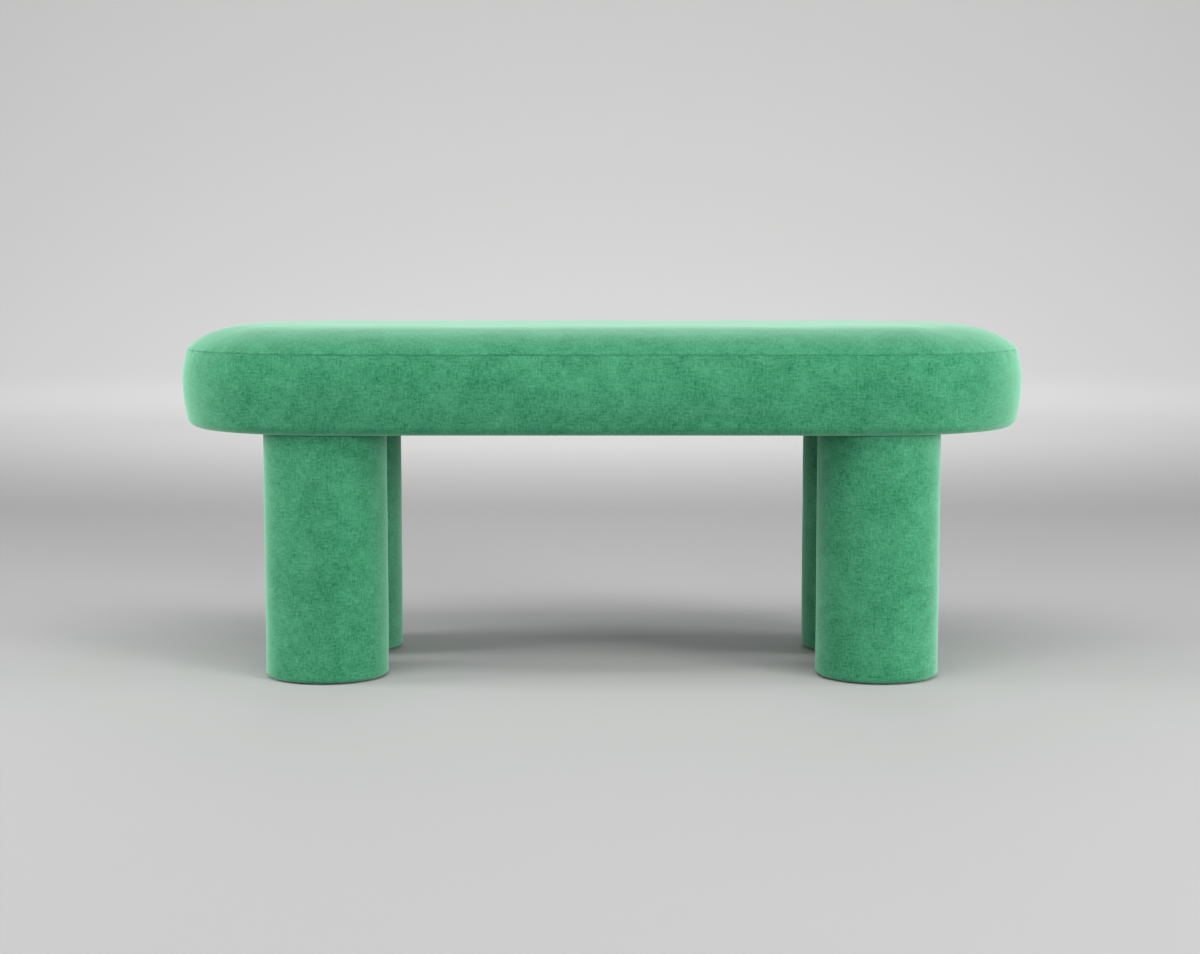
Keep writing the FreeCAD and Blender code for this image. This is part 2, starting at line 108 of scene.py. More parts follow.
def resample(points, step):
    # Even steps along a polyline by its length.
    lengths = lengthAlong(points)
    count = max(2, int(round(lengths[-1] / step)))
    at = np.linspace(0, lengths[-1], count + 1)
    return np.c_[np.interp(at, lengths, points[:, 0]), np.interp(at, lengths, points[:, 1])]


def outwardNormals(profile):
    # Each profile point's normal: its tangent turned a quarter turn outwards.
    tangent = np.gradient(profile, axis=0)
    tangent /= np.maximum(np.hypot(tangent[:, 0], tangent[:, 1])[:, None], 1e-12)
    return np.c_[-tangent[:, 1], tangent[:, 0]]


def gridQuads(rows, columns, wrapAcross=True, wrapDown=False):
    # Row and column of every quad, and its four corners' numbers, counted row by row.
    down = np.arange(rows if wrapDown else rows - 1)
    across = np.arange(columns if wrapAcross else columns - 1)
    i, j = np.meshgrid(down, across, indexing="ij")
    here, below, jNext = i * columns, (i + 1) % rows * columns, (j + 1) % columns
    return i, j, np.stack([here + j, below + j, below + jNext, here + jNext], -1).reshape(-1, 4)


def gridMesh(name, points, uv=None, wrapAcross=True, wrapDown=False, caps=False, flip=False):
    # points[row, column] as a surface of quads. Columns join round when wrapAcross, rows when
    # wrapDown; uv has one column (and row) more there.
    rows, columns = points.shape[:2]
    i, j, quads = gridQuads(rows, columns, wrapAcross, wrapDown)
    faces = quads.tolist()
    if caps:
        faces.append((np.arange(rows) * columns).tolist()[::-1])
        faces.append((np.arange(rows) * columns + columns - 1).tolist())
    mesh = bpy.data.meshes.new(name)
    mesh.from_pydata(points.reshape(-1, 3), [], faces)
    if uv is not None:
        layer = mesh.uv_layers.new(name="cloth")
        corner = np.stack([uv[i, j], uv[i + 1, j], uv[i + 1, j + 1], uv[i, j + 1]], -2).reshape(-1, 2)
        data = np.zeros((len(mesh.loops), 2))
        data[:len(corner)] = corner
        layer.data.foreach_set("uv", data.ravel())
    tidy = bmesh.new()
    tidy.from_mesh(mesh)
    bmesh.ops.remove_doubles(tidy, verts=tidy.verts, dist=1e-6)
    bmesh.ops.dissolve_degenerate(tidy, edges=tidy.edges, dist=1e-7)
    if flip:
        bmesh.ops.reverse_faces(tidy, faces=tidy.faces)
    tidy.to_mesh(mesh)
    tidy.free()
    mesh.polygons.foreach_set("use_smooth", np.ones(len(mesh.polygons), bool))
    piece = bpy.data.objects.new(name, mesh)
    bpy.context.scene.collection.objects.link(piece)
    return piece


def seatPath(runCount, endCount, reach):
    # Right round the seat from the middle of the rear, anticlockwise from above. Every column has
    # its point on the middle line, its heading as a unit x and y, and its distance along the outline.
    half, quarterTurn = seat["spineHalf"], np.pi * reach
    marks = np.cumsum([0, half, quarterTurn, 2 * half, quarterTurn, half])
    counts = [runCount // 2, endCount, runCount, endCount, runCount // 2]
    steps = [np.linspace(a, b, n, endpoint=False) for a, b, n in zip(marks[:-1], marks[1:], counts)]
    along = np.concatenate(steps)
    spine = np.interp(along, marks, [0, -half, -half, half, half, 0])
    heading = np.radians(np.interp(along, marks, [90, 90, 270, 270, 450, 450]))
    return {"along": along, "spine": spine, "heading": heading, "total": marks[-1],
            "x": np.cos(heading), "y": np.sin(heading)}


def pushed(profile, push):
    # Reach and height of every point of a profile, moved along the profile's normal.
    normal = outwardNormals(profile)
    return profile[:, :1] + normal[:, :1] * push, profile[:, 1:] + normal[:, 1:] * push


def sweep(path, profile, push=0.0, outward=0.0):
    # Carries (reach, height) points along the path, pushed along the surface's normal and outward.
    reach, height = pushed(profile, push)
    reach = reach + outward
    x = path["spine"][None, :] + reach * path["x"][None, :]
    y = reach * path["y"][None, :]
    return np.stack([x, y, height + 0 * x], -1)


def turned(centre, reach, height, angle):
    # Carries reach and height round an upright axis, one column for each angle.
    x, y = centre["x"] + reach * np.cos(angle), centre["y"] + reach * np.sin(angle)
    return np.stack([x, y, height + 0 * x], -1)


def finishPiece(piece, material, slotName, *replaced):
    piece.data.materials.append(material)
    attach(piece, root)
    if replaced:
        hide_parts(*replaced)
    return piece


def thicken(piece, thickness, offset=-1.0):
    solid = piece.modifiers.new("cloth thickness", "SOLIDIFY")
    solid.thickness = thickness
    solid.offset = offset
    solid.use_rim = True
    solid.use_even_offset = False
    return piece


# shape of the seat

def outlineLength(reach):
    # Round the seat: the four half runs and a circle.
    return 4 * seat["spineHalf"] + 2 * math.pi * reach


def sideReach(height):
    # Two parabolas that meet upright at the widest level, one above and one below it.
    share = (height - seat["bottom"]) / (seat["seam"] - seat["bottom"])
    widest = seat["widestShare"]
    below = seat["bottomPullIn"] * np.clip((widest - share) / widest, 0, None) ** 2
    pullIn = seat["halfDepth"] - seat["seamReach"]
    above = pullIn * np.clip((share - widest) / (1 - widest), 0, None) ** 2
    return seat["halfDepth"] - below - above


def crownProfile(layer, count=160):
    # Superellipse from the middle line out to the seam, a layer inside the cover.
    reach, rise = seat["seamReach"] - layer, seat["top"] - seat["seam"] - layer
    angle = np.linspace(np.pi / 2, 0, count)
    out = reach * np.abs(np.cos(angle)) ** (2 / seat["crownSidePower"])
    up = rise * np.abs(np.sin(angle)) ** (2 / seat["crownEdgePower"])
    out[0] = 0
    return np.c_[out, seat["seam"] + up]


def sideProfile(layer, high, low, count=60):
    # Down the side, from one height to the start of the underside's rounding.
    height = np.linspace(high, low, count)
    return np.c_[sideReach(height) - layer, height]


def undersideArc(layer, count=16):
    # A quarter circle from the side to the underside, a layer inside the cover.
    level = seat["bottom"] + seat["rounding"]
    centre = (sideReach(level) - seat["rounding"], level)
    return arcPoints(centre, seat["rounding"] - layer, 0, -90, count)


# materials

def newMaterial(name):
    material = bpy.data.materials.new(name)
    material.use_nodes = True
    tree = material.node_tree
    return material, tree, tree.nodes["Principled BSDF"]


def node(tree, kind, **settings):
    made = tree.nodes.new(kind)
    for key, value in settings.items():
        if key in made.inputs:
            made.inputs[key].default_value = value
        else:
            setattr(made, key, value)
    return made


def noise(tree, vector, scale, detail=2.0, rough=0.5, distortion=0.0):
    made = node(tree, "ShaderNodeTexNoise")
    made.inputs["Scale"].default_value = scale
    made.inputs["Detail"].default_value = detail
    made.inputs["Roughness"].default_value = rough
    made.inputs["Distortion"].default_value = distortion
    tree.links.new(vector, made.inputs["Vector"])
    return made.outputs["Fac"]


def stretched(tree, vector, scale, turn=0.0):
    # Each coordinate times its scale, then a turn about the upright axis.
    made = node(tree, "ShaderNodeMapping")
    made.inputs["Scale"].default_value = scale
    made.inputs["Rotation"].default_value = (0, 0, turn)
    tree.links.new(vector, made.inputs["Vector"])
    return made.outputs["Vector"]


def math2(tree, operation, first, second, clamp=False):
    made = node(tree, "ShaderNodeMath", operation=operation, use_clamp=clamp)
    for socket, value in zip(made.inputs, (first, second)):
        if isinstance(value, (int, float)):
            socket.default_value = value
        else:
            tree.links.new(value, socket)
    return made.outputs[0]


def spread(tree, value, low, high, toLow=0.0, toHigh=1.0):
    # A straight line from low and high to two new values, held at them beyond.
    made = node(tree, "ShaderNodeMapRange")
    for socket, number in zip(made.inputs[1:5], (low, high, toLow, toHigh)):
        socket.default_value = number
    tree.links.new(value, made.inputs[0])
    return made.outputs[0]


def blendColour(tree, mask, first, second):
    # From the first colour where the mask is 0 to the second where it is 1.
    made = node(tree, "ShaderNodeMix", data_type="RGBA")
    sockets = made.inputs[0], made.inputs[6], made.inputs[7]
    for socket, value in zip(sockets, (mask, first, second)):
        if isinstance(value, tuple):
            socket.default_value = (*value, 1)
        elif isinstance(value, (int, float)):
            socket.default_value = value
        else:
            tree.links.new(value, socket)
    return made.outputs[2]


def addBump(tree, shader, height, strength, distance):
    bump = node(tree, "ShaderNodeBump")
    bump.inputs["Strength"].default_value = strength
    bump.inputs["Distance"].default_value = distance
    tree.links.new(height, bump.inputs["Height"])
    tree.links.new(bump.outputs["Normal"], shader.inputs["Normal"])


def newGroup(name, inputs, outputs):
    group = bpy.data.node_groups.new(name, "ShaderNodeTree")
    for label, kind, value in inputs:
        socket = group.interface.new_socket(label, in_out="INPUT", socket_type=kind)
        if value is not None:
            socket.default_value = value
    for label, kind in outputs:
        group.interface.new_socket(label, in_out="OUTPUT", socket_type=kind)
    return group, group.nodes.new("NodeGroupInput"), group.nodes.new("NodeGroupOutput")


pile = {
    "slubThin": 360.0,      # slubs per metre across their run
    "slubLong": 105.0,      # and along it
    "grain": 330.0,         # tufts per metre
    "fleck": 800.0,         # single bright fibres
    "cloud": 15.0,          # large patches of brushed pile per metre
    "smudge": 60.0,         # small ones
    "fleckShare": 0.7,      # how much each adds to the tone
    "smudgeShare": 0.8,
    "slubHeight": 0.9,      # and to the height
    "patchHeight": 0.3,
}


def velvetGroup():
    # Short slubs across and along the cloth, tufts, bright fibres and brushed patches, added up
    # as a tone and a height.
    group, start, end = newGroup("velvetPile", [
        ("Cloth", "NodeSocketVector", None),
        ("Slubs", "NodeSocketFloat", 1.0),
        ("Patches", "NodeSocketFloat", 1.0),
    ], [("Tone", "NodeSocketFloat"), ("Height", "NodeSocketFloat")])
    cloth = start.outputs["Cloth"]
    thin, long = pile["slubThin"], pile["slubLong"]

    def centred(vector, scales, detail=1.0, rough=0.5, distortion=0.0):
        drawn = stretched(group, vector, scales)
        return math2(group, "SUBTRACT", noise(group, drawn, 1.0, detail, rough, distortion), 0.5)

    def added(*values):
        total = values[0]
        for value in values[1:]:
            total = math2(group, "ADD", total, value)
        return total

    level = centred(cloth, (long, thin, 1))
    upright = centred(cloth, (thin * 1.05, long * 0.9, 1))
    grain = centred(cloth, (pile["grain"], pile["grain"] * 0.9, 1), 2.0)
    fleck = centred(cloth, (pile["fleck"] * 0.6, pile["fleck"], 1))
    slubs = added(level, upright, grain, math2(group, "MULTIPLY", fleck, pile["fleckShare"]))
    slubs = math2(group, "MULTIPLY", slubs, start.outputs["Slubs"])
    cloud = centred(cloth, (pile["cloud"],) * 3, 3.0, 0.6, 0.6)
    smudge = centred(cloth, (pile["smudge"] * 0.8, pile["smudge"], 1), 2.0)
    patch = added(cloud, math2(group, "MULTIPLY", smudge, pile["smudgeShare"]))
    patch = math2(group, "MULTIPLY", patch, start.outputs["Patches"])
    tone = math2(group, "ADD", added(slubs, patch), 0.5, clamp=True)
    height = added(math2(group, "MULTIPLY", slubs, pile["slubHeight"]),
                   math2(group, "MULTIPLY", patch, pile["patchHeight"]))
    group.links.new(tone, end.inputs["Tone"])
    group.links.new(height, end.inputs["Height"])
    return group


velvetPile = velvetGroup()

velvet = {
    "dark": (0.0075, 0.124, 0.050),
    "light": (0.077, 0.315, 0.173),
    "rim": (0.268, 0.575, 0.398),    # painted sheen: the paler colour that the base colour takes where the surface is seen at a slant
    "paintedSheenPower": 3.0,
    "sheen": 0.15,
    "sheenRough": 0.30,
    "sheenTint": (0.86, 1.0, 0.92),
    "rough": 0.90,
    "specular": 0.05,
    "slubs": 0.62,
    "patches": 0.66,
    "bump": 0.6,
    "bumpDepth": 0.0008,
}


def velvetMaterial(name):
    # Tone from the pile, with a painted sheen: paler towards a slant as a power of the facing value.
    material, tree, shader = newMaterial(name)
    uv = node(tree, "ShaderNodeUVMap", uv_map="cloth")
    group = node(tree, "ShaderNodeGroup", node_tree=velvetPile)
    group.inputs["Slubs"].default_value = velvet["slubs"]
    group.inputs["Patches"].default_value = velvet["patches"]
    tree.links.new(uv.outputs["UV"], group.inputs["Cloth"])
    colour = blendColour(tree, group.outputs["Tone"], velvet["dark"], velvet["light"])
    # painted sheen: the facing value, raised to a power, blends the base colour towards a paler green
    # at a slant
    slant = node(tree, "ShaderNodeLayerWeight").outputs["Facing"]
    paintedSheenShare = math2(tree, "POWER", slant, velvet["paintedSheenPower"])
    colour = blendColour(tree, paintedSheenShare, colour, velvet["rim"])
    tree.links.new(colour, shader.inputs["Base Color"])
    shader.inputs["Roughness"].default_value = velvet["rough"]
    shader.inputs["Specular IOR Level"].default_value = velvet["specular"]
    shader.inputs["Sheen Weight"].default_value = velvet["sheen"]
    shader.inputs["Sheen Roughness"].default_value = velvet["sheenRough"]
    shader.inputs["Sheen Tint"].default_value = (*velvet["sheenTint"], 1)
    addBump(tree, shader, group.outputs["Height"], velvet["bump"], velvet["bumpDepth"])
    return material


seatVelvet = velvetMaterial("seatVelvet")
legVelvet = velvetMaterial("legVelvet")


def fibreGroup():
    # Cloudy loose fibres: two stretched noises crossed over a soft one.
    group, start, end = newGroup("looseFibre", [
        ("Place", "NodeSocketVector", None),
        ("Fineness", "NodeSocketFloat", 400.0),
    ], [("Tone", "NodeSocketFloat"), ("Height", "NodeSocketFloat")])
    scaled = node(group, "ShaderNodeVectorMath", operation="SCALE")
    group.links.new(start.outputs["Place"], scaled.inputs[0])
    group.links.new(start.outputs["Fineness"], scaled.inputs["Scale"])
    place = scaled.outputs[0]
    first = noise(group, stretched(group, place, (1, 0.12, 0.5), 0.6), 1.0, 3.0, 0.6, 0.8)
    second = noise(group, stretched(group, place, (0.12, 1, 0.5), -0.5), 1.0, 3.0, 0.6, 0.8)
    cloud = noise(group, place, 0.06, 2.0)
    total = math2(group, "ADD", math2(group, "ADD", first, second), cloud)
    tone = math2(group, "MULTIPLY", total, 0.333)
    group.links.new(tone, end.inputs["Tone"])
    group.links.new(tone, end.inputs["Height"])
    return group


looseFibre = fibreGroup()


def fibreMaterial(name, dark, light, fineness, rough=0.95, bump=0.4):
    material, tree, shader = newMaterial(name)
    place = node(tree, "ShaderNodeTexCoord")
    group = node(tree, "ShaderNodeGroup", node_tree=looseFibre)
    group.inputs["Fineness"].default_value = fineness
    tree.links.new(place.outputs["Object"], group.inputs["Place"])
    mask = spread(tree, group.outputs["Tone"], 0.35, 0.65)
    tree.links.new(blendColour(tree, mask, dark, light), shader.inputs["Base Color"])
    shader.inputs["Roughness"].default_value = rough
    addBump(tree, shader, group.outputs["Height"], bump, 0.001)
    return material


waddingWhite = fibreMaterial("waddingWhite", (0.62, 0.62, 0.60), (0.86, 0.86, 0.84), 500.0)
dustCloth = fibreMaterial("dustCloth", (0.010, 0.010, 0.011), (0.045, 0.045, 0.048), 900.0, 0.9, 0.5)

foam = {
    "cells": 900.0,         # per metre
    "mottle": 40.0,
    "dark": (0.58, 0.50, 0.30),
    "light": (0.83, 0.77, 0.56),
    "rough": 0.92,
    "bump": 0.5,
    "bumpDepth": 0.0008,
}


def foamMaterial():
    # Open cells over a slow mottle.
    material, tree, shader = newMaterial("foamYellow")
    place = node(tree, "ShaderNodeTexCoord").outputs["Object"]
    cells = node(tree, "ShaderNodeTexVoronoi")
    cells.inputs["Scale"].default_value = foam["cells"]
    tree.links.new(place, cells.inputs["Vector"])
    mottle = noise(tree, place, foam["mottle"], 4.0)
    tone = math2(tree, "ADD", math2(tree, "MULTIPLY", cells.outputs["Distance"], 0.6),
                 math2(tree, "MULTIPLY", mottle, 0.5))
    mask = spread(tree, tone, 0.3, 0.8)
    tree.links.new(blendColour(tree, mask, foam["dark"], foam["light"]), shader.inputs["Base Color"])
    shader.inputs["Roughness"].default_value = foam["rough"]
    addBump(tree, shader, cells.outputs["Distance"], foam["bump"], foam["bumpDepth"])
    return material


foamYellow = foamMaterial()


wood = {
    "ringScale": (1.2, 22.0, 22.0),   # drawn out along the grain
    "rings": 9.0,
    "poreScale": (60.0, 1600.0, 1600.0),
    "poreShade": 0.45,
    "plyShade": 0.6,
    "rough": (0.55, 0.72),
    "bump": 0.25,
    "bumpDepth": 0.0004,
}


def grainGroup():
    # Long rings: a noise drawn out along the grain bends a band pattern; pores are finer and shorter.
    group, start, end = newGroup("woodGrain", [
        ("Place", "NodeSocketVector", None),
    ], [("Rings", "NodeSocketFloat"), ("Pores", "NodeSocketFloat")])
    place = start.outputs["Place"]
    bend = noise(group, stretched(group, place, wood["ringScale"]), 1.0, 3.0, 0.5, 1.2)
    rings = math2(group, "FRACT", math2(group, "MULTIPLY", bend, wood["rings"]), 0.0)
    pores = noise(group, stretched(group, place, wood["poreScale"]), 1.0, 2.0)
    group.links.new(rings, end.inputs["Rings"])
    group.links.new(pores, end.inputs["Pores"])
    return group


woodGrain = grainGroup()


def woodMaterial(name, turn, early, late, plies=0.0):
    # Rings between early and late wood, dark pores; cross plies show as darker lines on the edges.
    material, tree, shader = newMaterial(name)
    place = node(tree, "ShaderNodeTexCoord").outputs["Object"]
    along = stretched(tree, place, (1, 1, 1), turn)
    group = node(tree, "ShaderNodeGroup", node_tree=woodGrain)
    tree.links.new(along, group.inputs["Place"])
    colour = blendColour(tree, spread(tree, group.outputs["Rings"], 0.1, 0.95), early, late)
    poreMask = spread(tree, group.outputs["Pores"], 0.52, 0.7, 0.0, wood["poreShade"])
    colour = blendColour(tree, poreMask, colour, tuple(c * 0.5 for c in late))
    if plies:
        split = node(tree, "ShaderNodeSeparateXYZ")
        tree.links.new(place, split.inputs[0])
        layer = math2(tree, "FRACT", math2(tree, "DIVIDE", split.outputs["Z"], plies), 0.0)
        facing = node(tree, "ShaderNodeSeparateXYZ")
        tree.links.new(node(tree, "ShaderNodeNewGeometry").outputs["Normal"], facing.inputs[0])
        level = math2(tree, "ABSOLUTE", facing.outputs["Z"], 0.0)
        edge = math2(tree, "SUBTRACT", 1.0, level, clamp=True)
        mask = math2(tree, "MULTIPLY", math2(tree, "GREATER_THAN", layer, 0.5), edge)
        mask = math2(tree, "MULTIPLY", mask, wood["plyShade"])
        colour = blendColour(tree, mask, colour, tuple(c * 0.45 for c in late))
    tree.links.new(colour, shader.inputs["Base Color"])
    rough = spread(tree, group.outputs["Rings"], 0.0, 1.0, *wood["rough"])
    tree.links.new(rough, shader.inputs["Roughness"])
    addBump(tree, shader, group.outputs["Pores"], wood["bump"], wood["bumpDepth"])
    return material


plywood = woodMaterial("plywood", 0.0, (0.62, 0.45, 0.26), (0.47, 0.31, 0.16), 0.0028)
railPine = woodMaterial("railPine", 0.0, (0.66, 0.47, 0.26), (0.45, 0.27, 0.12))
ribPine = woodMaterial("ribPine", math.pi / 2, (0.66, 0.47, 0.26), (0.45, 0.27, 0.12))


tube = {
    "pitch": 0.07,          # between seam lines
    "slant": 0.35,
    "line": 0.02,           # its share of the pitch
    "lineShade": 0.7,
    "fibre": 700.0,
    "dark": (0.30, 0.20, 0.11),
    "light": (0.46, 0.33, 0.20),
    "lineColour": (0.12, 0.08, 0.04),
    "rough": 0.85,
}


def tubeMaterial():
    # Pressed paper wound in a spiral: a slanted seam line each pitch and fine fibres.
    material, tree, shader = newMaterial("paperTube")
    place = node(tree, "ShaderNodeTexCoord").outputs["Object"]
    split = node(tree, "ShaderNodeSeparateXYZ")
    tree.links.new(place, split.inputs[0])
    lean = math2(tree, "MULTIPLY", split.outputs["X"], tube["slant"])
    slant = math2(tree, "ADD", split.outputs["Z"], lean)
    turn = math2(tree, "FRACT", math2(tree, "DIVIDE", slant, tube["pitch"]), 0.0)
    seamLine = math2(tree, "LESS_THAN", turn, tube["line"])
    group = node(tree, "ShaderNodeGroup", node_tree=looseFibre)
    group.inputs["Fineness"].default_value = tube["fibre"]
    tree.links.new(place, group.inputs["Place"])
    tone = spread(tree, group.outputs["Tone"], 0.35, 0.65)
    colour = blendColour(tree, tone, tube["dark"], tube["light"])
    lineMask = math2(tree, "MULTIPLY", seamLine, tube["lineShade"])
    colour = blendColour(tree, lineMask, colour, tube["lineColour"])
    tree.links.new(colour, shader.inputs["Base Color"])
    shader.inputs["Roughness"].default_value = tube["rough"]
    addBump(tree, shader, group.outputs["Height"], 0.2, 0.0005)
    return material


paperTube = tubeMaterial()


def metalMaterial():
    # Zinc plating: crystalline patches and a few fine scratches.
    material, tree, shader = newMaterial("zincSteel")
    place = node(tree, "ShaderNodeTexCoord").outputs["Object"]
    crystals = node(tree, "ShaderNodeTexVoronoi")
    crystals.inputs["Scale"].default_value = 700.0
    tree.links.new(place, crystals.inputs["Vector"])
    tone = spread(tree, crystals.outputs["Distance"], 0.0, 0.7)
    colour = blendColour(tree, tone, (0.50, 0.51, 0.50), (0.68, 0.67, 0.62))
    tree.links.new(colour, shader.inputs["Base Color"])
    scratches = noise(tree, stretched(tree, place, (80, 3000, 3000), 0.3), 1.0, 2.0)
    tree.links.new(spread(tree, scratches, 0.3, 0.7, 0.28, 0.5), shader.inputs["Roughness"])
    shader.inputs["Metallic"].default_value = 1.0
    addBump(tree, shader, scratches, 0.1, 0.0002)
    return material


def plasticMaterial():
    # Moulded plastic with a spark-eroded texture and scuffs.
    material, tree, shader = newMaterial("glidePlastic")
    place = node(tree, "ShaderNodeTexCoord").outputs["Object"]
    spark = noise(tree, place, 2500.0, 3.0)
    scuff = noise(tree, stretched(tree, place, (200, 30, 30), 0.7), 1.0, 3.0)
    mask = spread(tree, scuff, 0.5, 0.75)
    colour = blendColour(tree, mask, (0.012, 0.012, 0.013), (0.05, 0.05, 0.05))
    tree.links.new(colour, shader.inputs["Base Color"])
    tree.links.new(spread(tree, scuff, 0.3, 0.7, 0.42, 0.7), shader.inputs["Roughness"])
    addBump(tree, shader, spark, 0.3, 0.0002)
    return material


zincSteel = metalMaterial()
glidePlastic = plasticMaterial()


def threadMaterial():
    # Twisted sewing thread: slanted bands along its own length.
    material, tree, shader = newMaterial("sewingThread")
    uv = node(tree, "ShaderNodeUVMap", uv_map="cloth").outputs["UV"]
    twist = node(tree, "ShaderNodeTexWave", bands_direction="DIAGONAL")
    twist.inputs["Scale"].default_value = 220.0
    tree.links.new(uv, twist.inputs["Vector"])
    colour = blendColour(tree, twist.outputs["Fac"], (0.010, 0.075, 0.036), (0.035, 0.18, 0.09))
    tree.links.new(colour, shader.inputs["Base Color"])
    shader.inputs["Roughness"].default_value = 0.6
    addBump(tree, shader, twist.outputs["Fac"], 0.4, 0.0002)
    return material


sewingThread = threadMaterial()
print("materials made:", len(bpy.data.materials))


# CAD pieces that keep their shape get their finish

def dress(names, material):
    for name in names:
        for place in nodes[name].material_slots:
            place.material = material


dress(["seat_underboard", "seat_deck", "end_skin_left", "end_skin_right"], plywood)
dress(["rail_front", "rail_rear"], railPine)
dress([name for name in nodes if name.startswith("rib_")], ribPine)
dress([name for name in nodes if name.startswith("leg_block_")], railPine)
dress([name for name in nodes if name.endswith("_disc")], plywood)
dress([name for name in nodes if name.endswith("_tube")], paperTube)
dress([name for name in nodes if name.endswith(("screws", "staples", "bolts", "inserts"))], zincSteel)
dress(["leg_glides"], glidePlastic)


# seat covers

cover = {
    "cloth": 0.0012,        # thickness of the velvet
    "seamRound": 0.0010,    # radius where each cloth turns into the seam
    "seamGap": 0.00004,     # half the slit between the two cloths
    "turnedIn": 0.0030,     # past the rounding, into the seam
    "runColumns": 200,
    "endColumns": 176,
    "step": 0.0040,         # between rows
    "pucker": 0.00030,      # height of the puckers beside the seam
    "puckerWaves": (0.012, 0.05),  # shortest and longest
    "puckerStart": 0.004,   # none right at the seam
    "puckerFade": 0.011,
    "uneven": 0.00035,      # height of the slow unevenness of the padding
    "unevenWaves": (0.12, 0.5),
    "unevenStart": 0.03,
    "waver": 0.0003,        # of the seam's own line
    "waverWaves": (0.010, 0.09),
    "waverFade": 0.006,
    "evenMiddle": (0.02, 0.10),    # reach over which the crown becomes uneven
    "turnUnder": 0.028,     # past the underside's rounding
    "evenEdge": (0.035, 0.010),    # before the flat underside, where the side becomes even
    "pleat": 0.0006,
    "pleatWaves": (0.02, 0.035),
    "pleatStart": 0.012,    # past the rounding
}
seatRound = seatPath(cover["runColumns"], cover["endColumns"], seat["seamReach"])
seamPull = cover["waver"] * waves(  # shared by both cloths
    seatRound["along"], 0, 17, *cover["waverWaves"], seatRound["total"], 40)


def coverPush(path, profile, seed, seamLength):
    # Along the normal: puckers that die away from the seam as an exponential, on a slow
    # unevenness. Outward: the seam's own waver, only beside the seam.
    along, total = path["along"][None, :], path["total"]
    fromSeam = np.abs(lengthAlong(profile) - seamLength)[:, None]
    puckers = waves(along, 0 * fromSeam, seed, *cover["puckerWaves"], total)
    puckers = puckers * np.exp(-fromSeam / cover["puckerFade"])
    slow = waves(along, fromSeam, seed + 1, *cover["unevenWaves"], total)
    started = smoothStep(fromSeam, 0.0, cover["puckerStart"])
    calm = smoothStep(fromSeam, 0.0, cover["unevenStart"])
    atSeam = 1 - smoothStep(fromSeam, 0.0, cover["waverFade"])
    return (cover["pucker"] * puckers * started + cover["uneven"] * slow * calm,
            seamPull[None, :] * atSeam)


settle = {
    "frames": 20,
    "pressure": 4.0,
    "cap": 0.0010,          # most that a point swells
    "inward": 0.0003,       # and most that it sinks
    "smoothing": 8,         # passes
    "topFrom": 0.05,        # reach where the top's free cloth begins
    "topFade": (0.06, 0.17),
    "bandFrom": 6,          # rows of the band in the seam, which stay put
}


def settled(points, first, last):
    # Cloth blown out against its own tension between two rows that stay put: how far each point
    # of the grid swells along its normal, limited by a tanh to the cap out and a little in. Every
    # second row and column is simulated, and those between move by the mean of their neighbours.
    moved = np.zeros_like(points)
    first += (last - first + 1) % 2  # an odd number of rows, so that the last one is simulated
    grid = points[first:last:2, ::2]
    rows, columns = grid.shape[:2]
    mesh = bpy.data.meshes.new("settling")
    mesh.from_pydata(grid.reshape(-1, 3), [], gridQuads(rows, columns)[2].tolist())
    trial = bpy.data.objects.new("settling", mesh)
    bpy.context.scene.collection.objects.link(trial)
    edges = np.r_[np.arange(columns), np.arange(columns) + (rows - 1) * columns]
    trial.vertex_groups.new(name="held").add(edges.tolist(), 1.0, "REPLACE")
    cloth = trial.modifiers.new("settling", "CLOTH").settings
    cloth.vertex_group_mass = "held"
    cloth.effector_weights.gravity = 0.0
    cloth.use_pressure = True
    cloth.uniform_pressure_force = settle["pressure"]
    for number in range(1, settle["frames"] + 1):
        bpy.context.scene.frame_set(number)
    shape = trial.evaluated_get(bpy.context.evaluated_depsgraph_get()).data
    after = np.zeros(rows * columns * 3)
    shape.vertices.foreach_get("co", after)
    move = after.reshape(rows, columns, 3) - grid
    bpy.data.objects.remove(trial)
    bpy.data.meshes.remove(mesh)
    bpy.context.scene.frame_set(1)
    normal = np.cross(np.gradient(grid, axis=0), np.roll(grid, -1, 1) - np.roll(grid, 1, 1))
    normal /= np.linalg.norm(normal, axis=-1, keepdims=True)
    swell = (move * normal).sum(-1, keepdims=True)
    print("cloth settled:", rows, "rows, mean and most in mm",
          round(1000 * swell.mean(), 2), round(1000 * swell.max(), 2))
    most = np.where(swell > 0, settle["cap"], settle["inward"])
    move = normal * most * np.tanh(swell / most)
    moved[first:last:2, ::2] = move
    moved[first:last:2, 1::2] = (move + np.roll(move, -1, 1)) / 2
    moved[first + 1:last:2] = (moved[first:last - 1:2] + moved[first + 2:last:2]) / 2
    for _ in range(settle["smoothing"]):  # one, two, one over three rows, then over three columns
        inner = (moved[first:last - 2] + 2 * moved[first + 1:last - 1] + moved[first + 2:last]) / 4
        moved[first + 1:last - 1] = (np.roll(inner, 1, 1) + 2 * inner + np.roll(inner, -1, 1)) / 4
    return moved


